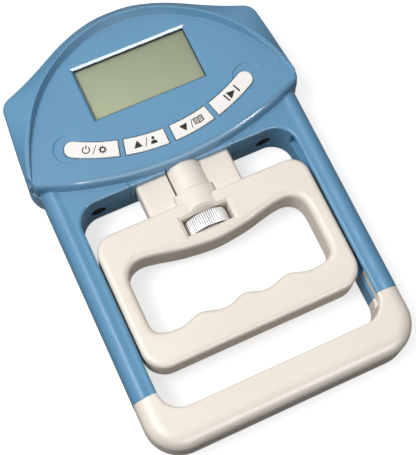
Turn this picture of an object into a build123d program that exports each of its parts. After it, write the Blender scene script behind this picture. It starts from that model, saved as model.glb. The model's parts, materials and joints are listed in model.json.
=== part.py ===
"""Electronic hand dynamometer: a D-shaped display head on a U frame, a finger handle
that slides in the frame, and a knurled wheel on a screw that sets the grip distance.

Row frame, millimetres: X across the width, Y from the palm grip towards the display head,
Z out of the display. The instrument lies on its flat back at Z = 0, with the origin under
the middle of its outline.
"""
from build123d import *
import math
import os

os.makedirs("parts", exist_ok=True)

# ---------------------------------------------------------------- driving dimensions
Y_TOP, Y_BOTTOM = 96.4, -96.4      # overall length 192.8
ARM_OUT, ARM_IN = 61.4, 50.9       # half widths of the frame's arms
Y_SEAM = -70.2                     # where the arms end and the palm grip begins
Y_FRAME = 16.2                     # upper edge of the frame's opening
R_FRAME = 10.0                     # its upper corner radius
Z_PART = 12.5                      # parting plane of the two housings
Z_FRAME = 24.5                     # front of the frame
Z_FACE = 29.0                      # display face
Z_BROW = 32.7                      # crest of the brow round the display face
WALL = 2.2
AXIS_Z = 16.4                      # height of the round column's centre
SCREW_Z = 14.3                     # height of the adjusting screw's axis
R_ROD = 3.0                        # M6 screw
COLUMN_R = 8.8
WHEEL_R, WHEEL_Y0, WHEEL_Y1 = 10.0, -14.2, -6.6
Z_STRIP = 23.8                     # the frame's inner strip and cross wall, a step below its front
HANDLE_X, HANDLE_TOP, HANDLE_BOTTOM = 50.1, 0.4, -63.0
HANDLE_Z0, HANDLE_Z1, HANDLE_PART = 7.0, 24.2, 15.6
TRAVEL_UP, TRAVEL_DOWN = 11.0, 4.0   # of the handle, on the screw
LCD_X, LCD_Y0, LCD_Y1 = 26.6, 49.1, 74.8
KEY_CENTRE_Y, KEY_R, KEY_HALF = 114.6, 85.0, 3.7   # the keys lie on one arc
KEY_GAP = 0.35                     # clearance round each key
PRESS = 0.8                        # key travel


# ---------------------------------------------------------------- helpers
def block(x0, x1, y0, y1, z0, z1):
    return Pos((x0 + x1) / 2, (y0 + y1) / 2, (z0 + z1) / 2) * Box(abs(x1 - x0), abs(y1 - y0), abs(z1 - z0))


def rod_y(r, x, z, y0, y1):
    return Pos(x, (y0 + y1) / 2, z) * Rot(90, 0, 0) * Cylinder(r, y1 - y0)


def rod_x(r, y, z, x0, x1):
    return Pos((x0 + x1) / 2, y, z) * Rot(0, 90, 0) * Cylinder(r, x1 - x0)


def rod_z(r, x, y, z0, z1):
    return Pos(x, y, (z0 + z1) / 2) * Cylinder(r, z1 - z0)


def prism(face, z0, z1):
    return extrude(Pos(0, 0, z0) * face, z1 - z0, dir=(0, 0, 1))


def at(points, z=0.0):
    return [Vector(x, y, z) for x, y in points]


def both(right_half):
    """A left-right symmetric run of points from its right half, apex first."""
    return [(-x, y) for x, y in reversed(right_half) if x > 0] + list(right_half)


def knots(points):
    """Chord-length parameters, shared by every section so that rulings join matching points."""
    d = [0.0]
    for p, q in zip(points, points[1:]):
        d.append(d[-1] + math.dist(p, q))
    return [k / d[-1] for k in d]


def rounded(x, y0, y1, r_top, r_bottom):
    """A rectangle of half width x between y0 and y1 with two corner radii."""
    e = []
    p = []
    e.append(Line((-x + r_bottom, y0), (x - r_bottom, y0)))
    e.append(RadiusArc((x - r_bottom, y0), (x, y0 + r_bottom), -r_bottom))
    e.append(Line((x, y0 + r_bottom), (x, y1 - r_top)))
    e.append(RadiusArc((x, y1 - r_top), (x - r_top, y1), -r_top))
    e.append(Line((x - r_top, y1), (-x + r_top, y1)))
    e.append(RadiusArc((-x + r_top, y1), (-x, y1 - r_top), -r_top))
    e.append(Line((-x, y1 - r_top), (-x, y0 + r_bottom)))
    e.append(RadiusArc((-x, y0 + r_bottom), (-x + r_bottom, y0), -r_bottom))
    return Face(Wire([q.edge() for q in e]))


def one(shape):
    """The shape as plain solids."""
    s = shape.solids()
    return s[0] if len(s) == 1 else Compound(children=list(s))


def soften(shape, edges, sizes):
    """The largest of the given fillets that the edges take."""
    for r in sizes:
        try:
            done = fillet(edges, r)
            if done.is_valid and done.volume > 0:
                return done
        except Exception:
            continue
    print("no fillet taken", sizes, len(edges))
    return shape


NODES = {}


def keep(name, shape):
    NODES[name] = shape
    return shape


# ---------------------------------------------------------------- head outlines
HEAD = [(0, 96.4), (8.6, 95.9), (17.3, 93.8), (26.9, 90.1), (38.4, 84.0), (48.0, 79.2), (55.7, 76.0),
        (59.1, 74.4), (61.1, 71.9), (61.9, 68.0), (63.1, 56.5), (64.2, 43.1), (64.8, 36.4)]
# the brow's crest, point for point opposite the outline
CREST = [(0, 91.1), (8.0, 90.45), (16.0, 88.7), (24.5, 85.2), (33.0, 80.3), (40.0, 74.9), (45.6, 69.4),
         (48.2, 66.2), (50.0, 63.6), (51.9, 60.8), (56.2, 53.1), (60.5, 42.2), (62.6, 35.6)]
# share of the way from outline to crest, and of the rise, along the shoulder
SHOULDER = [(0.0, 0.0), (0.012, 0.07), (0.035, 0.135), (0.07, 0.20), (0.12, 0.26), (0.20, 0.335), (0.27, 0.39), (0.32, 0.44), (0.39, 0.50), (0.46, 0.56),
            (0.60, 0.68), (0.73, 0.79), (0.84, 0.88), (0.93, 0.95), (1.0, 1.0)]
FACE_TOP = [(0, 88.2), (9.6, 87.3), (14.4, 86.1), (21.3, 83.7), (28.8, 80.1), (36.5, 75.0), (44.2, 67.8),
            (52.8, 56.4), (57.6, 47.8), (61.0, 38.7), (63.0, 31.6)]
CORNER = (63.9, 32.3)
ARM_TOP = (ARM_OUT, 28.6)


def frame_face():
    """Head and both arms with the frame's opening, down to the palm grip's seam."""
    x, r = ARM_IN, R_FRAME
    e = [Edge.make_spline(at(both(HEAD)), parameters=knots(both(HEAD))),
         ThreePointArc(HEAD[-1], CORNER, ARM_TOP).edge(),
         Line(ARM_TOP, (ARM_OUT, Y_SEAM)).edge(),
         Line((ARM_OUT, Y_SEAM), (x, Y_SEAM)).edge(),
         Line((x, Y_SEAM), (x, Y_FRAME - r)).edge(),
         RadiusArc((x, Y_FRAME - r), (x - r, Y_FRAME), -r).edge(),
         Line((x - r, Y_FRAME), (-x + r, Y_FRAME)).edge(),
         RadiusArc((-x + r, Y_FRAME), (-x, Y_FRAME - r), -r).edge(),
         Line((-x, Y_FRAME - r), (-x, Y_SEAM)).edge(),
         Line((-x, Y_SEAM), (-ARM_OUT, Y_SEAM)).edge(),
         Line((-ARM_OUT, Y_SEAM), (-ARM_OUT, ARM_TOP[1])).edge(),
         ThreePointArc((-ARM_OUT, ARM_TOP[1]), (-CORNER[0], CORNER[1]), (-HEAD[-1][0], HEAD[-1][1])).edge()]
    return Face(Wire(e))


def inner_face():
    """The hollow of the head, one wall inside its outline."""
    pts = []
    for x, y in HEAD:
        n = math.hypot(x / 62.0 ** 2, (y - 40) / 57.0 ** 2) or 1
        pts.append((x - WALL * 1.1 * (x / 62.0 ** 2) / n, y - WALL * 1.1 * ((y - 40) / 57.0 ** 2) / n))
    pts[0] = (0, Y_TOP - WALL)
    pts = [p for p in pts if p[1] > 33]
    low = Y_FRAME + WALL
    e = [Spline(at(both(pts))).edge(),
         Line(pts[-1], (56.5, 27.5)).edge(),
         Line((56.5, 27.5), (48.0, low)).edge(),
         Line((48.0, low), (-48.0, low)).edge(),
         Line((-48.0, low), (-56.5, 27.5)).edge(),
         Line((-56.5, 27.5), (-pts[-1][0], pts[-1][1])).edge()]
    return Face(Wire(e))


def LOWER(u):
    """How far the lower wall has moved in at a share u of the rise: steep first, then rounded over."""
    run = [(0.0, 0.0), (0.10, 0.02), (0.20, 0.05), (0.28, 0.09), (0.36, 0.15), (0.43, 0.23), (0.50, 0.35), (0.55, 0.50), (1.0, 1.0)]
    for (a, p), (b, q) in zip(run, run[1:]):
        if u <= b:
            return p + (q - p) * (u - a) / (b - a)
    return 1.0


def section(t, u):
    """The head's section a share t of the way to the crest and a share u of the rise."""
    z = Z_FRAME + (Z_BROW - Z_FRAME) * u
    mix = lambda a, b, k: (a[0] + (b[0] - a[0]) * k, a[1] + (b[1] - a[1]) * k)
    up = [mix(a, b, t) for a, b in zip(both(HEAD), both(CREST))]
    k = LOWER(u)
    end = mix((62.6, 30.2), (62.4, 34.6), k)
    mid = 16.9 + 6.35 * k
    return Wire([Edge.make_spline(at(up, z), parameters=knots(both(HEAD))),
                 Line(Vector(*up[-1], z), Vector(*end, z)).edge(),
                 ThreePointArc(Vector(*end, z), Vector(0, mid, z), Vector(-end[0], end[1], z)).edge(),
                 Line(Vector(-end[0], end[1], z), Vector(*up[0], z)).edge()])


def dome():
    rings = [section(t, u) for t, u in SHOULDER]
    for ruled in (True, False):
        d = Solid.make_loft(rings, ruled)
        if d.is_valid and d.volume > 1000:
            print("dome", "ruled" if ruled else "smooth", round(d.volume))
            return d
    raise ValueError("no dome")


def pocket():
    """What is cut away above the display face, up to the brow."""
    def w(z, pts, grow):
        up = both(pts)
        y1 = -10
        return Wire([Spline(at(up, z)).edge(),
                     Line(Vector(*up[-1], z), Vector(up[-1][0] + 12 + grow, y1, z)).edge(),
                     Line(Vector(up[-1][0] + 12 + grow, y1, z), Vector(-up[-1][0] - 12 - grow, y1, z)).edge(),
                     Line(Vector(-up[-1][0] - 12 - grow, y1, z), Vector(*up[0], z)).edge()])
    k = (Z_BROW + 0.6 - Z_FACE) / (Z_BROW - Z_FACE)
    low = [(0, 88.2), (9.6, 87.3), (21.3, 83.7), (28.8, 80.1), (36.5, 75.0), (44.2, 67.8), (52.8, 56.4), (57.6, 47.8), (61.0, 38.7), (64.6, 27.0)]
    crest = [(0, 90.5), (9.8, 89.5), (22.2, 85.6), (29.9, 81.6), (37.3, 76.4), (44.4, 69.8), (53.0, 58.0), (58.0, 47.9), (61.4, 38.8), (65.0, 27.1)]
    top = [(a[0] + (b[0] - a[0]) * k, a[1] + (b[1] - a[1]) * k) for a, b in zip(low, crest)]
    return Solid.make_loft([w(Z_FACE, low, 0), w(Z_BROW + 0.6, top, 0)], True)


# ---------------------------------------------------------------- keys on their arc
def key_face(a0, a1, half, round_end, grow=0.0):
    """One key's outline between two angles, measured in degrees from the middle, right positive."""
    r0, r1 = KEY_R - half - grow, KEY_R + half + grow
    g = math.degrees(grow / KEY_R)
    s = 1 if a1 > a0 else -1

    def p(r, a):
        t = math.radians(a)
        return (r * math.sin(t), KEY_CENTRE_Y - r * math.cos(t))

    am = (a0 + a1) / 2
    b0, b1 = a0 - s * g, a1
    if not round_end:
        b1 = a1 + s * g
        e = [ThreePointArc(p(r1, b0), p(r1, am), p(r1, b1)).edge(), Line(p(r1, b1), p(r0, b1)).edge(),
             ThreePointArc(p(r0, b1), p(r0, am), p(r0, b0)).edge(), Line(p(r0, b0), p(r1, b0)).edge()]
    else:
        tip_r = half + grow
        b1 = a1 - s * math.degrees(half / KEY_R)
        e = [ThreePointArc(p(r1, b0), p(r1, am), p(r1, b1)).edge(),
             ThreePointArc(p(r1, b1), p(KEY_R, b1 + s * math.degrees(tip_r / KEY_R)), p(r0, b1)).edge(),
             ThreePointArc(p(r0, b1), p(r0, am), p(r0, b0)).edge(), Line(p(r0, b0), p(r1, b0)).edge()]
    return Face(Wire(e))


# name, inner angle, outer angle, rounded outer end, plunger angle
KEYS = [("power_button", -15.5, -31.4, True, -24.5), ("up_button", -1.05, -13.7, False, -9.6),
        ("down_button", 1.05, 13.7, False, 9.6), ("start_button", 15.5, 31.4, True, 24.5)]


def key_point(angle, r=KEY_R):
    t = math.radians(angle)
    return r * math.sin(t), KEY_CENTRE_Y - r * math.cos(t)


# ---------------------------------------------------------------- housings
BOSSES = [(49.6, 33.4), (-49.6, 33.4), (51.5, 64.0), (-51.5, 64.0), (0.0, 90.3), (34.0, 22.2), (-34.0, 22.2)]
PCB_BOSSES = [(47.5, 46.5), (-47.5, 46.5), (35.5, 66.0), (-35.5, 66.0)]

frame = frame_face()
hollow = inner_face()

front = prism(frame, Z_PART, Z_FRAME)
rims = [e for e in front.edges() if abs((e @ 0.5).Z - Z_FRAME) < 0.01 and abs((e @ 0.5).X) < 62 and (e @ 0.5).Y < 30]
# the frame's front: an inner strip a step down, a soft crest, and a slope that rounds over to the side
RIDGE = [(53.4, Z_STRIP), (54.2, Z_STRIP + 0.08), (55.0, Z_STRIP + 0.36), (55.7, Z_STRIP + 0.60), (56.4, Z_STRIP + 0.66), (57.2, 24.3), (58.2, 23.75), (59.2, 22.95),
         (60.1, 21.9), (60.8, 20.7), (61.2, 19.4), (61.45, 17.6)]
right_ridge = Spline([Vector(x, -80, z) for x, z in RIDGE], tangents=[(1, 0, 0.02), (0.12, 0, -1)]).edge()
left_ridge = Spline([Vector(-x, -80, z) for x, z in reversed(RIDGE)], tangents=[(0.12, 0, 1), (1, 0, -0.02)]).edge()
cutter = Face(Wire([left_ridge, Line((-53.4, -80, Z_STRIP), (53.4, -80, Z_STRIP)).edge(), right_ridge,
                    Line((61.45, -80, 17.6), (68, -80, 17.0)).edge(), Line((68, -80, 17.0), (68, -80, 30)).edge(),
                    Line((68, -80, 30), (-68, -80, 30)).edge(), Line((-68, -80, 30), (-68, -80, 17.0)).edge(),
                    Line((-68, -80, 17.0), (-61.45, -80, 17.6)).edge()]))
front -= extrude(cutter, 113.0, dir=(0, 1, 0))
rims = [e for e in front.edges() if abs((e @ 0.5).Z - Z_STRIP) < 0.01 and abs((e @ 0.5).X) < 51.2 and -69.5 < (e @ 0.5).Y < 16.5]
front = soften(front, rims, (1.5, 1.2, 0.8))
head = dome() + extrude(Face(section(0, 0)), Z_FRAME - Z_PART, dir=(0, 0, -1))
head -= block(-80, 80, -20, Y_FRAME, 10, 40)
# the brow runs out into the face at both lower corners
fade = Polyline((-80, 10, 28.9), (-80, 31, 29.15), (-80, 62, 32.75), (-80, 62, 40), (-80, 10, 40), close=True)
head -= extrude(Face(Wire(fade.edges())), 160.0, dir=(1, 0, 0))
head -= pocket()
front = front + head
front -= prism(hollow, Z_PART - 1, 22.8)
lens = Face(Wire([Spline(at(both([(0, 86.0), (14, 84.4), (24, 81.2), (32.5, 77.0), (43, 66.5), (50.5, 54.0), (56.6, 36.0)]))).edge(),
                  ThreePointArc((56.6, 36.0), (0, 24.6), (-56.6, 36.0)).edge()]))
front -= prism(lens, 21.7, 26.8)
# rail channels and the hollow for the steel frame in both arms
arm_hollow = rounded(59.3, -90.9, 38, 1, 14.5) - rounded(54.5, -86.1, 42, 1, 9.7)
rod_space = prism(arm_hollow, 9.9, 15.1)
front -= rod_space
for s in (-1, 1):
    front -= block(s * (ARM_IN - 1), s * 53.6, Y_SEAM - 1, 10.0, 13.3, 22.3)
    front -= block(s * 54.9, s * 59.0, Y_SEAM - 1, 22.0, 15.0, 19.0)
# bosses for the screws, the display window, the keys and the neck
for x, y in BOSSES:
    front += rod_z(2.9, x, y, Z_PART, 24.0 if abs(x) < 40 else 27.3)
for x, y in PCB_BOSSES:
    front += rod_z(2.4, x, y, 22.6, 27.2)
for x, y in BOSSES:
    front -= rod_z(1.2, x, y, Z_PART - 1, 20.5)
for x, y in PCB_BOSSES:
    front -= rod_z(0.9, x, y, 22.0, 26.5)
front -= block(-LCD_X, LCD_X, LCD_Y0, LCD_Y1, 26, 30)
bevel = Solid.make_loft([Wire(Polyline(*[(sx * LCD_X, y, 28.0) for sx, y in ((-1, LCD_Y0), (1, LCD_Y0), (1, LCD_Y1), (-1, LCD_Y1))], close=True).edges()),
                         Wire(Polyline(*[(sx * (LCD_X + 1.2), y, 29.2) for sx, y in ((-1, LCD_Y0 - 1.2), (1, LCD_Y0 - 1.2), (1, LCD_Y1 + 1.2), (-1, LCD_Y1 + 1.2))], close=True).edges())], True)
front -= bevel
for name, a0, a1, tip, _ in KEYS:
    front -= prism(key_face(a0, a1, KEY_HALF, tip, KEY_GAP), 25, 31)
for s in (-1, 1):
    x, y = key_point(s * 30.3)
    front -= rod_z(6.4, x, y, Z_FACE - 0.35, Z_FACE + 1)
neck_gap = block(-22.7, 22.7, 10, 46, 8.5, 20.7) + rod_y(COLUMN_R + 0.5, 0, AXIS_Z, 10, 46)
bezel_space = block(-25.0, 25.0, Y_FRAME - 0.5, 19.4, 5.0, Z_STRIP + 0.01)
front -= bezel_space
front -= rod_y(COLUMN_R + 0.5, 0, AXIS_Z, 10, 46)
for s in (-1, 1):   # recessed screws in the frame's upper wall
    front -= rod_y(3.7, s * 40.4, 9.6, 10, 21.5)
keep("front_housing", front)

back = prism(frame, 0, Z_PART)
def back_rim(outside):
    """The back's edges round the outside, or round the opening."""
    f = back.faces().sort_by(Axis.Z)[0]
    keep_edge = lambda m: (abs(m.X) < 51.2 and m.Y < Y_FRAME + 0.1) != outside
    return [e for e in f.outer_wire().edges() if keep_edge(e @ 0.5) and (e @ 0.5).Y > Y_SEAM + 0.1]


back = soften(back, back_rim(True), (5.0, 4.0, 3.0, 2.0))
back = soften(back, back_rim(False), (1.6, 1.2, 0.8))
back -= prism(hollow, 2.4, Z_PART + 1)
back -= prism(arm_hollow, 9.9, Z_PART + 1)
for s in (-1, 1):
    back -= block(s * 54.7, s * 59.0, Y_SEAM + 3, 20.0, 3.0, 10.0)
for x, y in BOSSES:
    back += rod_z(3.1, x, y, 1.0, Z_PART)
for s in (-1, 1):
    back += rod_y(4.8, s * 40.4, 9.6, 17.5, 24.0) & block(-60, 60, 0, 40, 0, Z_PART)
for x, y in BOSSES:
    back -= rod_z(1.6, x, y, -1, Z_PART + 1)
    back -= rod_z(3.0, x, y, -1, 2.6) if y < 80 else rod_z(2.6, x, y, -1, 2.6)
back -= block(-24.3, 24.3, 63.3, 86.3, -1, 2.5)
back -= rod_x(0.68, 64.6, 1.05, -25.4, 25.4)
back -= bezel_space
for s in (-1, 1):
    back -= rod_y(3.7, s * 40.4, 9.6, 10, 21.5)
    back -= rod_y(1.45, s * 40.4, 9.6, 20, 23.5)
# ribs that stiffen the back between the neck and the battery bay
for s in (-1, 1):
    back += block(s * 26.5, s * 28.0, 18.0, 45.0, 2.0, 8.0)
keep("back_housing", back)

bezel = block(-24.85, 24.85, Y_FRAME, 19.3, 5.1, Z_STRIP)
bezel = soften(bezel, [e for e in bezel.edges().filter_by(Axis.X) if (e @ 0.5).Z > 20 and (e @ 0.5).Y < 17], (1.5, 1.2))
bezel -= block(-7.95, -7.2, 16, 18, 20, 24)
bezel -= block(-22.7, 22.7, 10, 46, 8.5, 20.7)
bezel -= rod_y(COLUMN_R + 0.5, 0, AXIS_Z, 10, 46)
keep("neck_bezel", bezel)

# ---------------------------------------------------------------- palm grip, in two halves
grip_face = rounded(ARM_OUT, Y_BOTTOM, -40, 3, 16.0) - rounded(ARM_IN, -80.2, -30, 3, R_FRAME)
grip_trim = block(-80, 80, Y_SEAM, 0, -5, 40)


def grip_half(z0, z1, front_side, outer_r, inner_r):
    g = prism(grip_face, z0, z1)

    def rim(outside):
        f = g.faces().sort_by(Axis.Z)[-1 if front_side else 0]
        mid = lambda e: e @ 0.5
        far = lambda e: abs(mid(e).X) > 55.5 or mid(e).Y < -88
        return [e for e in f.outer_wire().edges() if far(e) == outside and mid(e).Y < -41]
    g = soften(g, rim(True), outer_r)
    g = soften(g, rim(False), inner_r)
    return g - grip_trim


gf = grip_half(Z_PART, Z_FRAME, True, (7.0, 6.0, 5.0, 3.0), (1.6, 1.2, 0.8))
gb = grip_half(0, Z_PART, False, (5.0, 4.0, 3.0, 2.0), (1.6, 1.2, 0.8))
for s in (-1, 1):
    gf -= block(s * (ARM_IN - 1), s * 52.0, -75.5, -60, 13.3, 22.3)
    gf += block(s * 52.0, s * 53.4, -73.0, -57.8, 13.5, 22.1)      # liner that runs up into the arm's channel
gf -= prism(arm_hollow, 9.9, 15.1)
gb -= prism(arm_hollow, 9.9, 15.1)
GRIP_SCREWS = [(32.0, -83.0), (-32.0, -83.0)]
for x, y in GRIP_SCREWS:
    gf -= rod_z(1.2, x, y, 10, 20)
    gb -= rod_z(1.55, x, y, -1, 14)
    gb -= rod_z(2.6, x, y, -1, 2.6)
keep("lower_grip_front", gf)
keep("lower_grip_back", gb)

# ---------------------------------------------------------------- steel frame and load path
xr, yr, rr = 56.9, -88.5, 12.0
path = Wire([Line((xr, 56.0, Z_PART), (xr, yr + rr, Z_PART)).edge(),
             RadiusArc(Vector(xr, yr + rr, Z_PART), Vector(xr - rr, yr, Z_PART), rr).edge(),
             Line((xr - rr, yr, Z_PART), (-xr + rr, yr, Z_PART)).edge(),
             RadiusArc(Vector(-xr + rr, yr, Z_PART), Vector(-xr, yr + rr, Z_PART), rr).edge(),
             Line((-xr, yr + rr, Z_PART), (-xr, 56.0, Z_PART)).edge()])
start = Plane(origin=path @ 0, z_dir=path % 0)
keep("steel_u_frame", sweep(start * Circle(2.3), path=path))

plate = block(-60, 60, 47.5, 58.5, 7.5, 10.1) - block(-53, -26, 51.5, 70, 7, 11) - block(26, 53, 51.5, 70, 7, 11)
plate -= block(-6.0, 6.0, 47, 49.0, 9.2, 11)          # relief under the jam nut
for s in (-1, 1):
    plate -= rod_z(2.1, s * 22.0, 53.5, 7, 11)
keep("load_cell_plate", plate)

cell = block(-28, 28, 49.0, 58.0, 10.9, 18.1)
for s in (-1, 1):
    cell -= rod_z(2.1, s * 22.0, 53.5, 9, 21)
    cell -= rod_z(2.7, s * 11.5, 53.5, 9, 21)
    cell -= block(s * 11.5 - 3.4, s * 11.5 + 3.4, 52.9, 54.1, 9, 21)
cell -= rod_y(R_ROD + 0.05, 0, SCREW_Z, 48, 56.6)
keep("load_cell", cell)
keep("strain_gauges", one(Compound(children=[block(s * 11.5 - 3, s * 11.5 + 3, 58.05, 58.35, 11.8, 17.2) for s in (-1, 1)])))

bolts, spacers = [], []
for s in (-1, 1):
    bolts.append(rod_z(2.0, s * 22, 53.5, 5.2, 18.15) + Pos(s * 22, 53.5, 6.35) * Cylinder(3.6, 2.2) )
    spacers.append(rod_z(3.8, s * 22, 53.5, 10.15, 10.85) - rod_z(2.1, s * 22, 53.5, 9, 13))
keep("load_cell_bolts", Compound(children=bolts))
keep("load_cell_spacers", Compound(children=spacers))

keep("adjusting_screw", rod_y(R_ROD, 0, SCREW_Z, -4.5, 56.5))
nut = Pos(0, 47.4, SCREW_Z) * Rot(90, 0, 0) * extrude(RegularPolygon(4.9, 6), 1.45, both=True)
keep("jam_nut", nut - rod_y(R_ROD + 0.05, 0, SCREW_Z, 40, 55))

# ---------------------------------------------------------------- display and electronics
keep("lcd_window", block(-29.0, 29.0, 46.9, 77.0, 26.05, 26.75))
keep("lcd_gasket", block(-LCD_X + 0.03, LCD_X - 0.03, LCD_Y0 + 0.03, LCD_Y1 - 0.03, 26.78, 28.0) - block(-LCD_X + 0.12, LCD_X - 0.28, LCD_Y0 + 0.12, LCD_Y1 - 0.28, 26, 29))
keep("lcd_panel", block(-29.3, 29.3, 46.7, 77.2, 23.6, 26.0))

pcb = prism(Face(Wire(Polyline((-46, 27.5), (46, 27.5), (51.0, 36), (51.0, 52), (43, 66), (33, 75.5), (29.8, 78.6), (-29.8, 78.6), (-33, 75.5), (-43, 66), (-51.0, 52), (-51.0, 36), close=True).edges())), 20.9, 22.5)
pcb -= block(-10.3, 10.3, 20, 46.6, 20, 24)
for x, y in PCB_BOSSES:
    pcb -= rod_z(1.2, x, y, 20, 24)
for s in (-1, 1):   # clear of the housing's screw bosses
    pcb -= rod_z(3.3, s * 49.6, 33.4, 20, 24)
    pcb -= rod_z(3.3, s * 51.5, 64.0, 20, 24)
keep("main_pcb", pcb)

screws = [rod_z(0.85, x, y, 20.75, 25.5) + rod_z(2.2, x, y, 19.4, 20.8) for x, y in PCB_BOSSES]
keep("pcb_screws", Compound(children=screws))

switches = []
for name, a0, a1, tip, ap in KEYS:
    x, y = key_point(ap)
    switches.append(block(x - 3, x + 3, y - 3, y + 3, 22.55, 24.2) - rod_z(1.75, x, y, 23.0, 25))
keep("tact_switches", Compound(children=switches))

keep("controller_chip", block(36, 43, 49, 56, 22.55, 24.1))

for name, a0, a1, tip, ap in KEYS:
    x, y = key_point(ap)
    cap = prism(key_face(a0, a1, KEY_HALF, tip), 26.4, 29.4)
    cap = soften(cap, cap.faces().sort_by(Axis.Z)[-1].outer_wire().edges(), (0.4, 0.25))
    cap += prism(key_face(a0, a1, KEY_HALF, tip, 0.9), 25.5, 26.45) - block(-4.6, 4.6, 20, 40, 25, 26.4)   # flange behind the front wall, clear of the column
    keep(name, cap)
    keep(name.replace("_button", "_switch_stem"), rod_z(1.6, x, y, 24.0, 25.4))

# ---------------------------------------------------------------- battery bay
tray = block(-27.7, 27.7, 62.2, 86.5, 2.6, 14.9) - block(-26.6, 26.6, 63.6, 85.6, 0, 13.6)
keep("battery_tray", tray)
for i, y in enumerate((69.4, 80.3)):
    s = 1 if i == 0 else -1
    cell_body = rod_x(5.15, y, 8.1, -22.0, 21.2) + rod_x(1.9, y, 8.1, 21.1, 22.3)
    keep(f"battery_{i + 1}", cell_body if s > 0 else Pos(0, 2 * y, 0) * Rot(0, 0, 180) * cell_body)
contacts = []
for i, y in enumerate((69.4, 80.3)):
    s = 1 if i == 0 else -1
    contacts.append(block(s * 22.6, s * 23.0, y - 4, y + 4, 3.6, 12.4))                    # positive leaf
    spring = rod_x(3.4, y, 8.1, -25.8, -22.3) - rod_x(2.6, y, 8.1, -25.0, -22)
    spring += block(-26.4, -25.8, y - 4, y + 4, 3.6, 12.4)
    contacts.append(spring if s > 0 else Pos(0, 2 * y, 0) * Rot(0, 0, 180) * spring)
keep("battery_contacts", Compound(children=[one(c) for c in contacts]))

door = block(-24.0, 24.0, 64.6, 86.0, 0.0, 2.1) + rod_x(1.05, 64.6, 1.05, -24.0, 24.0)
door += rod_x(0.6, 64.6, 1.05, -25.2, 25.2)        # trunnions it swings on
door -= block(-7, 7, 83.4, 87, -1, 0.7)          # thumb relief at the latch
for k in range(5):
    door -= block(-8, 8, 68.0 + 2.2 * k, 68.9 + 2.2 * k, -1, 0.35)
keep("battery_door", door)

# ---------------------------------------------------------------- housing fasteners
scr = []
for x, y in BOSSES:
    top = y >= 80
    scr.append(rod_z(1.15, x, y, 1.5, 19.5) + (rod_z(2.4, x, y, 0.9, 2.55) - rod_z(1.0, x, y, 0.5, 1.7)))
keep("housing_screws", Compound(children=[one(q) for q in scr]))
keep("grip_screws", Compound(children=[one(rod_z(1.15, x, y, 1.5, 18.5) + (rod_z(2.4, x, y, 0.9, 2.55) - rod_z(1.0, x, y, 0.5, 1.7))) for x, y in GRIP_SCREWS]))
keep("frame_screws", Compound(children=[one(rod_y(1.4, s * 40.4, 9.6, 18.5, 23.4) + rod_y(3.55, s * 40.4, 9.6, 16.45, 21.45)) for s in (-1, 1)]))

# ---------------------------------------------------------------- finger handle
X, T, B = HANDLE_X, HANDLE_TOP, HANDLE_BOTTOM
outer = rounded(X, B, T, 8.6, 10.6)
# right half of the finger opening, from the middle of its top round to the middle of its waved bottom
OPENING = [(0, -20.3), (4.0, -20.15), (7.7, -19.8), (12.0, -19.25), (16.3, -18.6), (21.0, -17.55), (25.9, -16.4), (29.5, -15.7), (32.6, -15.3),
           (35.6, -15.5), (38.3, -16.6), (40.4, -18.6), (41.6, -21.2), (42.0, -24.0), (42.1, -29.0), (42.1, -34.0), (42.1, -39.0), (42.0, -43.2),
           (41.5, -45.2), (40.3, -46.8), (38.2, -47.9), (35.4, -48.6), (32.6, -48.9), (29.8, -48.85), (27.0, -48.2), (24.0, -47.1), (21.9, -46.55),
           (20.4, -46.4), (18.9, -46.55), (16.8, -47.1), (14.0, -48.0), (11.6, -48.6), (9.2, -48.75), (6.8, -48.4), (4.6, -47.6), (2.4, -46.8), (0.9, -46.45)]
loop = OPENING + [(0, -46.4)] + [(-x, y) for x, y in reversed(OPENING[1:])]
hole = Face(Wire([Edge.make_spline(at(loop), periodic=True)]))
wheel_room = block(-10.8, 10.8, WHEEL_Y0 - 0.2, WHEEL_Y1 + 0.2, 0, 30)
neck_seat = block(-22.3, 22.3, -3.8, 6, 8.9, 20.4)
HANDLE_SCREWS = [(46.0, -6.5), (-46.0, -6.5), (45.5, -54.0), (-45.5, -54.0)]


NECK_R = 10.1                  # height of the neck's round top over the handle, from the column's middle

def window_bevel():
    """The sloped rim of the wheel's window, carried on upwards past the column."""
    k = (26.0 - 22.6) / (24.25 - 22.6)
    lo = (10.8, WHEEL_Y0 - 0.2, WHEEL_Y1 + 0.2)
    hi = [a + (b - a) * k * 1.4 for a, b in zip(lo, (12.4, -16.2, -5.2))]
    rect = lambda q, z: Wire(Polyline((-q[0], q[1], z), (q[0], q[1], z), (q[0], q[2], z), (-q[0], q[2], z), close=True).edges())
    return Solid.make_loft([rect(lo, 22.6), rect(hi, 27.36)], True)


def ring(w, r, y):
    """Elliptical outline across the neck at y, w wide and r high from the column's middle."""
    return Wire(Edge.make_ellipse(w, r, plane=Plane((0, y, AXIS_Z), x_dir=(1, 0, 0), z_dir=(0, -1, 0))))


# the neck swells gently from the column's own height to the height it has over the handle
collar = Solid.make_loft([ring(10.0, COLUMN_R, 4.89), ring(9.96, NECK_R, -6.9)], True)


SPIGOT_R = 7.9


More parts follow.
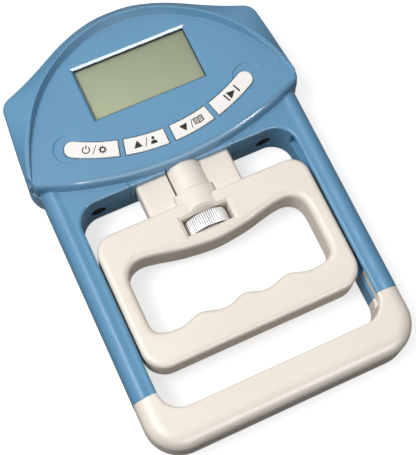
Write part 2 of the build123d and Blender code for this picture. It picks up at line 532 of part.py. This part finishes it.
def handle_half(z0, z1, front_side):
    blank = prism(outer, z0, z1)
    f = blank.faces().sort_by(Axis.Z)[-1 if front_side else 0]
    blank = soften(blank, f.outer_wire().edges(), (2.6, 2.0, 1.2))
    h = blank - prism(hole, 0, 30)
    rims = [e for e in h.edges() if abs((e @ 0.5).Z - (z1 if front_side else z0)) < 0.01 and abs((e @ 0.5).X) < 43.5 and -49.5 < (e @ 0.5).Y < -14]
    h = soften(h, rims, (3.2, 2.4, 1.5) if front_side else (2.0, 1.5, 1.0))
    h -= neck_seat
    if front_side:
        h += collar & block(-30, 30, -3.75, 30, HANDLE_PART, 30)
    h -= rod_y(SPIGOT_R + 0.03, 0, AXIS_Z, -8, 6)
    if front_side:
        h += (collar & block(-30, 30, -8, -3.7, HANDLE_Z1 - 3.0, 30)) - rod_y(SPIGOT_R + 0.03, 0, AXIS_Z, -8, 6)
    h -= wheel_room
    h -= rod_y(R_ROD + 0.9, 0, SCREW_Z, -18.0, -5)        # room for the screw's end
    # hollows in the two bars
    lo, hi = (HANDLE_PART - 1, 21.6) if front_side else (9.6, HANDLE_PART + 1)
    h -= block(-38, 38, -60.2, -51.6, lo, hi)
    for s in (-1, 1):
        h -= block(s * 25.0, s * 39.5, -12.4, -2.6, lo, hi)
        h -= block(s * 47.9, s * 51, -50.1, -10.9, 13.85, 21.75)
    for x, y in HANDLE_SCREWS:
        if front_side:
            h -= rod_z(1.2, x, y, HANDLE_PART - 1, 21.4)
        else:
            h -= rod_z(1.6, x, y, 0, HANDLE_PART + 1)
            h -= rod_z(2.7, x, y, 0, 9.4)
    if front_side:
        h -= window_bevel()
    return h


keep("handle_front", handle_half(HANDLE_PART, HANDLE_Z1, True))
keep("handle_back", handle_half(HANDLE_Z0, HANDLE_PART, False))

slit = block(-7.95, -7.2, 4.9, 40, 13.5, 22.5)             # narrow gap along the column's left side
guide = block(-22.2, 22.2, -3.7, 32.0, 9.0, 20.3)
guide = soften(guide, guide.edges().filter_by(Axis.Y), (1.8, 1.2))
guide -= rod_y(COLUMN_R + 0.03, 0, AXIS_Z, -10, 28.0)
guide -= Pos(0, 0.55, AXIS_Z) * Rot(90, 0, 0) * extrude(Ellipse(10.05, NECK_R + 0.05), 4.39, both=True) & block(-30, 30, -10, 10, HANDLE_PART - 0.05, 30)
guide -= rod_y(R_ROD + 0.6, 0, SCREW_Z, 20, 40)
guide -= slit
keep("guide_block", guide)

sleeve = rod_y(COLUMN_R, 0, AXIS_Z, 4.95, 27.8) + rod_y(SPIGOT_R, 0, AXIS_Z, WHEEL_Y1 + 0.2, 6)
sleeve -= rod_y(5.7, 0, SCREW_Z, -8, 10.5)
sleeve -= rod_y(R_ROD + 0.6, 0, SCREW_Z, 5, 30)
sleeve -= slit
sleeve -= window_bevel()
keep("column_sleeve", sleeve)

keep("guide_rails", Compound(children=[block(s * 48.0, s * 53.1, -50.0, -11.0, 13.9, 21.7) for s in (-1, 1)]))
keep("handle_screws", Compound(children=[one(rod_z(1.15, x, y, 8.2, 21.0) + (rod_z(2.45, x, y, 7.7, 9.3) - rod_z(1.0, x, y, 7.0, 8.4))) for x, y in HANDLE_SCREWS]))

wheel = rod_y(WHEEL_R, 0, SCREW_Z, WHEEL_Y0, WHEEL_Y1)
wheel = soften(wheel, wheel.edges().filter_by(GeomType.CIRCLE), (0.6, 0.4))
wheel += rod_y(5.4, 0, SCREW_Z, WHEEL_Y1 - 0.5, 8.5)
wheel -= rod_y(R_ROD + 0.06, 0, SCREW_Z, -20, 20)
keep("adjusting_wheel", wheel)

# ---------------------------------------------------------------- write
for stale in os.listdir("parts"):
    if stale.endswith(".step") and stale[:-5] not in NODES:
        os.remove(os.path.join("parts", stale))
for name, shape in NODES.items():
    print(name, len(shape.solids()), end="; ")
    export_step(one(shape), f"parts/{name}.step")
print(len(NODES), "nodes")
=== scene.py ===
"""Looks of the hand dynamometer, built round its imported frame. Metres, in the row frame."""

import json
import math

import bmesh
import bpy
import numpy as np
from mathutils import Matrix, Vector


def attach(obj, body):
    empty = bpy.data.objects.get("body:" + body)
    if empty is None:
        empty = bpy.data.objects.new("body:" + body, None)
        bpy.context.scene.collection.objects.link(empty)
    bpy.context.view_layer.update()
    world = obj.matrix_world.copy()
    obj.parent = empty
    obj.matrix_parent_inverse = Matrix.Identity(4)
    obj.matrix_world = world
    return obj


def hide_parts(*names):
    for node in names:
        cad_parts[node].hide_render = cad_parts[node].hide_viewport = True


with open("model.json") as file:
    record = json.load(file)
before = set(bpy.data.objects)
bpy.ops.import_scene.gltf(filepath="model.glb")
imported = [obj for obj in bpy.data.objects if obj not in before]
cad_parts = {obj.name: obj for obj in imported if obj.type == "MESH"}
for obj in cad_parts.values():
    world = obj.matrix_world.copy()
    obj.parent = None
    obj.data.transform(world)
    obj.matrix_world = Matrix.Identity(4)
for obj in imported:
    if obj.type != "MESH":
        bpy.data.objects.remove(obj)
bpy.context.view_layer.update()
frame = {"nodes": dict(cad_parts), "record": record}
N = frame["nodes"]
MM = 0.001
bpy.context.scene.view_settings.view_transform = "Standard"
bpy.context.scene.view_settings.look = "None"


# ---------------------------------------------------------------- small helpers
def lin(r, g, b):
    """An sRGB colour in 0 to 255 as linear RGBA."""
    f = lambda c: c / 12.92 if c <= 0.04045 else ((c + 0.055) / 1.055) ** 2.4
    return (f(r / 255), f(g / 255), f(b / 255), 1.0)


class Mat:
    """A procedural material with its node tree at hand."""

    def __init__(self, name, base, rough=0.4, metallic=0.0, **sockets):
        self.m = bpy.data.materials.new(name)
        self.m.use_nodes = True
        self.t = self.m.node_tree
        self.b = self.t.nodes["Principled BSDF"]
        self.b.inputs["Base Color"].default_value = base
        self.b.inputs["Roughness"].default_value = rough
        self.b.inputs["Metallic"].default_value = metallic
        for k, v in sockets.items():
            self.b.inputs[k.replace("_", " ")].default_value = v
        self.co = self.t.nodes.new("ShaderNodeTexCoord").outputs["Object"]

    def node(self, kind, **props):
        n = self.t.nodes.new(kind)
        for k, v in props.items():
            setattr(n, k, v)
        return n

    def link(self, a, b):
        self.t.links.new(a, b)

    def noise(self, scale, detail=2.0, rough=0.5, stretch=None):
        n = self.node("ShaderNodeTexNoise")
        n.inputs["Scale"].default_value = scale
        n.inputs["Detail"].default_value = detail
        n.inputs["Roughness"].default_value = rough
        if stretch:
            mp = self.node("ShaderNodeMapping")
            mp.inputs["Scale"].default_value = stretch
            self.link(self.co, mp.inputs["Vector"])
            self.link(mp.outputs["Vector"], n.inputs["Vector"])
        else:
            self.link(self.co, n.inputs["Vector"])
        return n.outputs["Fac"]

    def ramp(self, fac, stops):
        r = self.node("ShaderNodeValToRGB")
        e = r.color_ramp.elements
        while len(e) < len(stops):
            e.new(0.5)
        for k, (p, c) in zip(e, stops):
            k.position, k.color = p, c
        self.link(fac, r.inputs["Fac"])
        return r.outputs["Color"]

    def mix(self, fac, a, b, blend="MIX"):
        m = self.node("ShaderNodeMix", data_type="RGBA", blend_type=blend)
        for sock, v in ((m.inputs[0], fac), (m.inputs[6], a), (m.inputs[7], b)):
            if isinstance(v, (int, float, tuple)):
                sock.default_value = v
            else:
                self.link(v, sock)
        return m.outputs[2]

    def rng(self, fac, a, b, lo=0.3, hi=0.7):
        m = self.node("ShaderNodeMapRange")
        for i, v in enumerate((lo, hi, a, b)):
            m.inputs[i + 1].default_value = v
        self.link(fac, m.inputs[0])
        return m.outputs[0]

    def bump(self, height, strength, distance, prev=None):
        b = self.node("ShaderNodeBump")
        b.inputs["Strength"].default_value = strength
        b.inputs["Distance"].default_value = distance
        self.link(height, b.inputs["Height"])
        if prev is not None:
            self.link(prev, b.inputs["Normal"])
        return b.outputs["Normal"]

    def color(self, c):
        self.link(c, self.b.inputs["Base Color"])
        return self

    def rough(self, r):
        self.link(r, self.b.inputs["Roughness"])
        return self

    def normal(self, n):
        self.link(n, self.b.inputs["Normal"])
        return self


def plastic(name, base, rough, spark=0.02, tint=0.03, tex=4200.0, depth=0.00002, edge=0.0004, coat=0.0, polish=0.0):
    """Moulded plastic: fine spark texture, a slow tint drift and softly broken edges."""
    m = Mat(name, base, rough, Coat_Weight=coat, Coat_Roughness=0.10)
    slow = m.noise(28, 3)
    fine = m.noise(tex, 2, 0.6)
    dark = tuple(c * (1 - tint) for c in base[:3]) + (1,)
    pale = tuple(min(1, c * (1 + tint)) for c in base[:3]) + (1,)
    m.color(m.mix(m.rng(fine, 0, 0.35), m.ramp(slow, [(0.3, dark), (0.7, pale)]), pale))
    m.rough(m.rng(m.noise(160, 4), rough - spark * 2, rough + spark * 2))
    bev = m.node("ShaderNodeBevel", samples=6)
    bev.inputs["Radius"].default_value = edge
    b = m.bump(fine, 0.35, depth, bev.outputs["Normal"])
    m.normal(b)
    if polish:                                     # polished head, plainer arms: by the distance along the frame
        sep = m.node("ShaderNodeSeparateXYZ")
        m.link(m.co, sep.inputs[0])
        m.link(m.rng(sep.outputs["Y"], 0.05, polish, 0.012, 0.026), m.b.inputs["Coat Weight"])
    return m.m


def metal(name, base, rough, stretch=None, scale=900, depth=0.00001, edge=0.00025):
    m = Mat(name, base, rough, 1.0)
    g = m.noise(scale, 4, 0.6, stretch)
    m.rough(m.rng(g, rough * 0.75, rough * 1.35))
    dark = tuple(c * 0.86 for c in base[:3]) + (1,)
    m.color(m.mix(m.rng(m.noise(60, 3), 0, 0.6), base, dark))
    bev = m.node("ShaderNodeBevel", samples=4)
    bev.inputs["Radius"].default_value = edge
    m.normal(m.bump(g, 0.3, depth, bev.outputs["Normal"]))
    return m.m


BLUE = plastic("blue_plastic", lin(92, 147, 184), 0.44, edge=0.0007, coat=0.12, polish=0.55)
IVORY = plastic("ivory_plastic", lin(237, 228, 216), 0.40, edge=0.0005)
KEY = plastic("key_plastic", lin(245, 242, 237), 0.35, tex=6000, edge=0.0003)
RAIL = plastic("rail_plastic", lin(226, 219, 208), 0.32, edge=0.0003)
OXIDE = metal("black_oxide", lin(22, 22, 24), 0.5)
BLACK = plastic("black_plastic", lin(26, 27, 29), 0.45, edge=0.0002)
RUBBER = plastic("seal_rubber", lin(24, 24, 25), 0.8, tex=2600, depth=0.00006)
ZINC = metal("zinc_steel", lin(196, 197, 195), 0.3)
BAR = metal("bar_steel", lin(160, 161, 162), 0.38)
CELL = metal("cell_aluminium", lin(208, 210, 213), 0.33, (40, 1, 1), 300)
NICKEL = metal("contact_nickel", lin(205, 202, 192), 0.2)
CHROME = metal("wheel_chrome", lin(222, 222, 222), 0.22, edge=0.00003)


def knurl_metal():
    """Chrome with painted shade in its knurl roots: darker by the distance from the wheel's own axis."""
    m = Mat("knurled_chrome", lin(246, 246, 246), 0.45, 0.7)
    sep = m.node("ShaderNodeSeparateXYZ")
    m.link(m.co, sep.inputs[0])
    vec = m.node("ShaderNodeCombineXYZ")
    m.link(sep.outputs["X"], vec.inputs["X"])
    off = m.node("ShaderNodeMath", operation="SUBTRACT")
    m.link(sep.outputs["Z"], off.inputs[0])
    off.inputs[1].default_value = 0.0143
    m.link(off.outputs[0], vec.inputs["Z"])
    far = m.node("ShaderNodeVectorMath", operation="LENGTH")
    m.link(vec.outputs[0], far.inputs[0])
    rim = m.rng(far.outputs["Value"], 0.0, 1.0, 0.00950, 0.00985)      # 0 in a root, 1 on a land
    face = m.rng(far.outputs["Value"], 1.0, 0.0, 0.0086, 0.0090)        # 1 inside the rim
    unshaded_land_mask = m.node("ShaderNodeMath", operation="MAXIMUM")
    m.link(rim, unshaded_land_mask.inputs[0]); m.link(face, unshaded_land_mask.inputs[1])
    # painted shade: the knurl roots are coloured near black, while the lands and the end face stay pale chrome
    m.color(m.mix(unshaded_land_mask.outputs[0], lin(18, 18, 19), m.mix(m.rng(m.noise(300, 3), 0, 0.5), lin(250, 250, 250), lin(232, 232, 233))))
    m.rough(m.rng(m.noise(900, 4), 0.42, 0.50))
    return m.m


KNURL = knurl_metal()

# clear acrylic window: a thin sheet that only glints
w = Mat("clear_window", (1, 1, 1, 1), 0.05, Alpha=0.06, IOR=1.49, Coat_Weight=0.2, Coat_Roughness=0.03)
w.rough(w.rng(w.noise(900, 2), 0.03, 0.08))
WINDOW = w.m

# liquid crystal panel: grey-green with a painted light gradient, paler towards its lower left corner, with a faint
# reflector grain
l = Mat("display_glass", lin(160, 171, 137), 0.5, Specular_IOR_Level=0.25)
sx = l.node("ShaderNodeSeparateXYZ")
l.link(l.co, sx.inputs[0])
ax = l.rng(sx.outputs["X"], 0, 1, -0.0296, 0.0296)
ay = l.rng(sx.outputs["Y"], 0, 1, 0.0465, 0.0774)
mth = l.node("ShaderNodeMath", operation="ADD")
l.link(ax, mth.inputs[0]); l.link(ay, mth.inputs[1])
g = l.rng(mth.outputs[0], 0, 1, 0.0, 2.0)
# painted light: the panel's colour runs from pale at the lower left corner to dark at the upper right
lcd_light_gradient = l.ramp(g, [(0.0, lin(178, 188, 139)), (0.28, lin(162, 172, 134)), (0.6, lin(146, 157, 119)), (1.0, lin(130, 143, 99))])
grain = l.noise(9000, 2, 0.7)
l.color(l.mix(l.rng(grain, 0.0, 0.12), lcd_light_gradient, lin(120, 132, 104)))
l.rough(l.rng(l.noise(5000, 2), 0.36, 0.48))
LCD = l.m

# circuit board: solder mask over faint tracks
p = Mat("circuit_board", lin(24, 92, 52), 0.35)
vor = p.node("ShaderNodeTexVoronoi", feature="DISTANCE_TO_EDGE", distance="MANHATTAN")
vor.inputs["Scale"].default_value = 420
p.link(p.co, vor.inputs["Vector"])
p.color(p.mix(p.rng(vor.outputs["Distance"], 1, 0, 0.02, 0.06), lin(24, 92, 52), lin(46, 128, 74)))
p.normal(p.bump(vor.outputs["Distance"], 0.2, 0.00004))
p.rough(p.rng(p.noise(500, 2), 0.3, 0.42))
PCB = p.m

f = Mat("gauge_film", lin(196, 128, 50), 0.3)
wv = f.node("ShaderNodeTexWave", wave_type="BANDS", bands_direction="Z")
wv.inputs["Scale"].default_value = 900
f.link(f.co, wv.inputs["Vector"])
f.color(f.mix(wv.outputs["Fac"], lin(196, 128, 50), lin(120, 84, 44)))
f.rough(f.rng(f.noise(700, 2), 0.25, 0.4))
GAUGE = f.m

# battery jacket: plain coloured sleeve with bare metal ends, by distance along the cell
j = Mat("battery_jacket", lin(60, 66, 78), 0.28, Coat_Weight=0.5, Coat_Roughness=0.1)
sj = j.node("ShaderNodeSeparateXYZ")
j.link(j.co, sj.inputs[0])
ab = j.node("ShaderNodeMath", operation="ABSOLUTE")
j.link(sj.outputs["X"], ab.inputs[0])
j.color(j.ramp(j.rng(ab.outputs[0], 0, 1, 0.0, 0.0223), [(0.0, lin(60, 66, 78)), (0.60, lin(60, 66, 78)), (0.62, lin(176, 150, 96)), (0.90, lin(176, 150, 96)), (0.93, lin(200, 200, 198))]))
j.rough(j.rng(j.noise(400, 2), 0.22, 0.34))
JACKET = j.m

BY_SLOT = {"blue_plastic": BLUE, "ivory_plastic": IVORY, "key_plastic": KEY, "rail_plastic": RAIL, "black_plastic": BLACK,
           "clear_window": WINDOW, "display_glass": LCD, "seal_rubber": RUBBER, "circuit_board": PCB, "zinc_steel": ZINC,
           "bar_steel": BAR, "cell_aluminium": CELL, "gauge_film": GAUGE, "battery_jacket": JACKET, "contact_nickel": NICKEL,
           "wheel_chrome": CHROME, "black_steel": OXIDE}
slot_of = {s["node"]: s["material_slot"] for s in frame["record"]["subparts"]}
for name, o in N.items():
    o.data.materials.clear()
    o.data.materials.append(BY_SLOT[slot_of[name]])


def smooth(o, angle=32):
    """Shades smooth across edges flatter than the angle."""
    me = o.data
    me.polygons.foreach_set("use_smooth", [True] * len(me.polygons))
    bm = bmesh.new()
    bm.from_mesh(me)
    lim = math.radians(angle)
    for e in bm.edges:
        e.smooth = not (len(e.link_faces) == 2 and e.calc_face_angle(0) > lim)
    bm.to_mesh(me)
    bm.free()


for o in N.values():
    smooth(o)


def new_object(name, bm, mat, body, angle=35):
    bmesh.ops.recalc_face_normals(bm, faces=bm.faces)
    me = bpy.data.meshes.new(name)
    bm.to_mesh(me)
    bm.free()
    o = bpy.data.objects.new(name, me)
    bpy.context.scene.collection.objects.link(o)
    me.materials.append(mat)
    smooth(o, angle)
    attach(o, body)
    return o


# ---------------------------------------------------------------- knurled wheel
def knurled_wheel():
    """A straight-knurled wheel with chamfered rims, a recessed end face and its long hub."""
    cx, cz = 0.0, 14.3 * MM
    R, n = 9.98 * MM, 60
    y0, y1 = -14.2 * MM, -6.6 * MM
    bm = bmesh.new()
    prof = [0.0, 0.7, 1.0, 1.0, 1.0, 0.7]   # points of one tooth: root, flank, land, flank
    per = len(prof)
    depth = 0.50 * MM
    k = n * per

    def loop(y, rad, amp):
        out = []
        for i in range(k):
            a = 2 * math.pi * (i / k)
            r = rad - amp * (1 - prof[i % per])
            out.append(bm.verts.new((cx + r * math.cos(a), y, cz + r * math.sin(a))))
        return out

    bore = 3.06 * MM
    rings = [loop(y1 + 0.0, 5.6 * MM, 0), loop(y1, 8.3 * MM, 0), loop(y1, 8.6 * MM, 0), loop(y1 - 0.15 * MM, 9.1 * MM, 0), loop(y1 - 0.45 * MM, R - 0.15 * MM, depth * 0.8),
             loop(y1 - 0.8 * MM, R, depth), loop((y0 + y1) / 2, R, depth), loop(y0 + 0.8 * MM, R, depth),
             loop(y0 + 0.45 * MM, R - 0.15 * MM, depth * 0.8), loop(y0 + 0.15 * MM, 9.1 * MM, 0), loop(y0, 8.6 * MM, 0), loop(y0, 8.2 * MM, 0), loop(y0 + 0.25 * MM, 7.9 * MM, 0),
             loop(y0 + 0.25 * MM, 4.6 * MM, 0), loop(y0, 4.2 * MM, 0), loop(y0, bore + 0.3 * MM, 0), loop(y0 + 0.3 * MM, bore, 0), loop(0.0, bore, 0), loop(8.2 * MM, bore, 0),
             loop(8.5 * MM, bore + 0.3 * MM, 0), loop(8.5 * MM, 5.1 * MM, 0), loop(8.2 * MM, 5.4 * MM, 0), loop(-2 * MM, 5.4 * MM, 0), loop(y1 + 0.2 * MM, 5.4 * MM, 0)]
    for a, b in zip(rings, rings[1:] + rings[:1]):
        for i in range(k):
            bm.faces.new((a[i], a[(i + 1) % k], b[(i + 1) % k], b[i]))
    return new_object("knurled_wheel", bm, KNURL, "wheel", 24)


wheel = knurled_wheel()
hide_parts("adjusting_wheel")


# ---------------------------------------------------------------- printed key symbols
INK = plastic("key_ink", lin(12, 12, 13), 0.6, edge=0.00005)


def key_frame(angle, r=85.0, cy=114.6):
    t = math.radians(angle)
    return Vector((r * math.sin(t), cy - r * math.cos(t), 0)), t


def stamp(name, polys, angle, body, top=29.4):
    """Flat printed shapes, in millimetres in the key's own axes, 0.05 mm thick on the key's top."""
    c, t = key_frame(angle)
    bm = bmesh.new()
    for poly in polys:
        lows, highs = [], []
        for x, y in poly:
            u = Vector((x * math.cos(t) - y * math.sin(t), x * math.sin(t) + y * math.cos(t), 0)) + c
            lows.append(bm.verts.new((u.x * MM, u.y * MM, (top - 0.02) * MM)))
            highs.append(bm.verts.new((u.x * MM, u.y * MM, (top + 0.05) * MM)))
        bm.faces.new(highs)
        bm.faces.new(lows[::-1])
        for i in range(len(poly)):
            q = (i + 1) % len(poly)
            bm.faces.new((lows[i], lows[q], highs[q], highs[i]))
    return new_object(name, bm, INK, body, 30)


def arc_band(r0, r1, a0, a1, n=28, cx=0.0, cy=0.0):
    """A ring segment as a strip of quads."""
    out = []
    for i in range(n):
        a, b = (math.radians(a0 + (a1 - a0) * q / n) for q in (i, i + 1))
        out.append([(cx + r0 * math.cos(a), cy + r0 * math.sin(a)), (cx + r1 * math.cos(a), cy + r1 * math.sin(a)),
                    (cx + r1 * math.cos(b), cy + r1 * math.sin(b)), (cx + r0 * math.cos(b), cy + r0 * math.sin(b))])
    return out


def bar(x0, y0, x1, y1):
    return [(x0, y0), (x1, y0), (x1, y1), (x0, y1)]


def slash(x, h=2.1, w=0.17):
    """A thin leaning divider."""
    return [(x - 0.75 - w, -h), (x - 0.75 + w, -h), (x + 0.75 + w, h), (x + 0.75 - w, h)]


def disc(cx, cy, r, n=24):
    return [(cx + r * math.cos(2 * math.pi * i / n), cy + r * math.sin(2 * math.pi * i / n)) for i in range(n)]


def band(points, w):
    """A line of width w through the points, one quad a run."""
    out = []
    for (x0, y0), (x1, y1) in zip(points, points[1:]):
        k = math.hypot(x1 - x0, y1 - y0)
        nx, ny = -(y1 - y0) / k * w / 2, (x1 - x0) / k * w / 2
        out.append([(x0 - nx, y0 - ny), (x1 - nx, y1 - ny), (x1 + nx, y1 + ny), (x0 + nx, y0 + ny)])
    return out


def shift(polys, dx, dy=0.0):
    return [[(x + dx, y + dy) for x, y in q] for q in polys]


# power ring, divider and gear on the first key
power = arc_band(1.3, 1.8, 125, 415, 32) + [bar(-0.25, 0.3, 0.25, 2.2)]
gear = arc_band(0.75, 1.3, 0, 360, 32)
for i in range(8):
    a = 2 * math.pi * i / 8
    c, q = math.cos(a), math.sin(a)
    gear.append([(1.2 * c + 0.3 * q, 1.2 * q - 0.3 * c), (1.85 * c + 0.22 * q, 1.85 * q - 0.22 * c), (1.85 * c - 0.22 * q, 1.85 * q + 0.22 * c), (1.2 * c - 0.3 * q, 1.2 * q + 0.3 * c)])
stamp("mark_power", shift(power, -3.6) + [slash(0.0)] + shift(gear, 3.6), -22.6, "power_key")
# up arrow, divider and a figure for the user on the second
person = [disc(0, 1.15, 0.72), [(-1.5, -1.6), (1.5, -1.6), (1.35, -0.6), (0.75, -0.02), (0, 0.12), (-0.75, -0.02), (-1.35, -0.6)]]
stamp("mark_up", [[(-5.6, -1.5), (-1.7, -1.5), (-3.65, 1.9)]] + [slash(0.2)] + shift(person, 3.5), -7.4, "up_key")
# down arrow, divider and an open book for the memory on the third
book = band([(0, 1.05), (-0.8, 1.45), (-2.1, 1.35), (-2.1, -1.35), (-0.8, -1.25), (0, -1.6), (0.8, -1.25), (2.1, -1.35), (2.1, 1.35), (0.8, 1.45), (0, 1.05), (0, -1.6)], 0.46)
for y in (0.75, 0.15, -0.45):
    book += band([(-1.7, y), (-0.45, y - 0.05)], 0.32) + band([(0.45, y - 0.05), (1.7, y)], 0.32)
stamp("mark_down", [[(-5.7, 1.5), (-3.75, -1.9), (-1.8, 1.5)]] + [slash(-0.1)] + shift(book, 3.4), 7.4, "down_key")
# start: a large solid triangle between two end bars
stamp("mark_start", [[(-1.6, -2.0), (2.2, 0), (-1.6, 2.0)]] + [bar(3.2, -2.0, 3.9, 2.0)] + [bar(-3.3, -2.0, -2.6, 2.0)], 22.6, "start_key")

# ---------------------------------------------------------------- floor, light, camera
bm = bmesh.new()
bmesh.ops.create_grid(bm, x_segments=1, y_segments=1, size=3.0)
me = bpy.data.meshes.new("floor")
bm.to_mesh(me); bm.free()
floor = bpy.data.objects.new("floor", me)
bpy.context.scene.collection.objects.link(floor)
fm = Mat("floor_paper", (0.5, 0.5, 0.5, 1), 0.9, Emission_Color=(1, 1, 1, 1), Emission_Strength=0.68)
fm.color(fm.mix(fm.rng(fm.noise(9, 3), 0, 1), (0.50, 0.50, 0.50, 1), (0.53, 0.53, 0.53, 1)))
me.materials.append(fm.m)
floor.visible_diffuse = False                      # the glow from below comes from the world alone
floor.visible_glossy = False

world = bpy.data.worlds.new("studio")
bpy.context.scene.world = world
world.use_nodes = True
wt = world.node_tree
bg = wt.nodes["Background"]
bg.inputs["Color"].default_value = (1.0, 1.0, 1.0, 1)
wco = wt.nodes.new("ShaderNodeTexCoord")
wsep = wt.nodes.new("ShaderNodeSeparateXYZ")
wt.links.new(wco.outputs["Generated"], wsep.inputs[0])
wmap = wt.nodes.new("ShaderNodeMapRange")          # dim low on the near side, full behind the head
for i, v in enumerate((-0.9, 0.3, 0.19, 0.69)):
    wmap.inputs[i + 1].default_value = v
wt.links.new(wsep.outputs["Y"], wmap.inputs[0])
wlow = wt.nodes.new("ShaderNodeMapRange")          # a weak bounce from below the horizon
for i, v in enumerate((-0.25, 0.55, 0.25, 1.0)):
    wlow.inputs[i + 1].default_value = v
wt.links.new(wsep.outputs["Z"], wlow.inputs[0])
wmul = wt.nodes.new("ShaderNodeMath")
wmul.operation = "MULTIPLY"
wt.links.new(wmap.outputs[0], wmul.inputs[0])
wt.links.new(wlow.outputs[0], wmul.inputs[1])
wt.links.new(wmul.outputs[0], bg.inputs["Strength"])


def area(name, loc, target, size, power, color=(1, 1, 1), size_y=None):
    d = bpy.data.lights.new(name, "AREA")
    d.energy, d.color = power, color
    d.shape = "RECTANGLE"
    d.size, d.size_y = size, size_y or size
    o = bpy.data.objects.new(name, d)
    bpy.context.scene.collection.objects.link(o)
    o.location = loc
    o.rotation_euler = (Vector(target) - Vector(loc)).to_track_quat("-Z", "Y").to_euler()
    return o


area("key", (-0.46, 0.06, 0.92), (0, 0.02, 0), 0.40, 6.3)
gloss = [area("low_strip", (0.14, -0.88, 0.47), (0, 0.05, 0.02), 1.0, 13.0, size_y=0.14),
         area("side_strip", (-0.64, -0.20, 0.72), (0, 0.07, 0.02), 0.5, 6.0, size_y=0.12)]
for g in gloss:                                    # a strip that only shows in the gloss of edges and bevels
    g.visible_diffuse = False

cam = bpy.data.cameras.new("camera")
cam.sensor_width = 36.0
cam.lens = 94.08
cam.clip_start, cam.clip_end = 0.01, 20
co = bpy.data.objects.new("camera", cam)
bpy.context.scene.collection.objects.link(co)
d = Vector((0.16135, 0.27074, -0.94903)).normalized()
up = Vector((0.39083, 0.86548, 0.31336))
right = d.cross(up).normalized()
up = right.cross(d).normalized()
co.matrix_world = Matrix(((right.x, up.x, -d.x, -0.0840), (right.y, up.y, -d.y, -0.1522), (right.z, up.z, -d.z, 0.5068), (0, 0, 0, 1)))
bpy.context.scene.camera = co

bpy.context.view_layer.update()
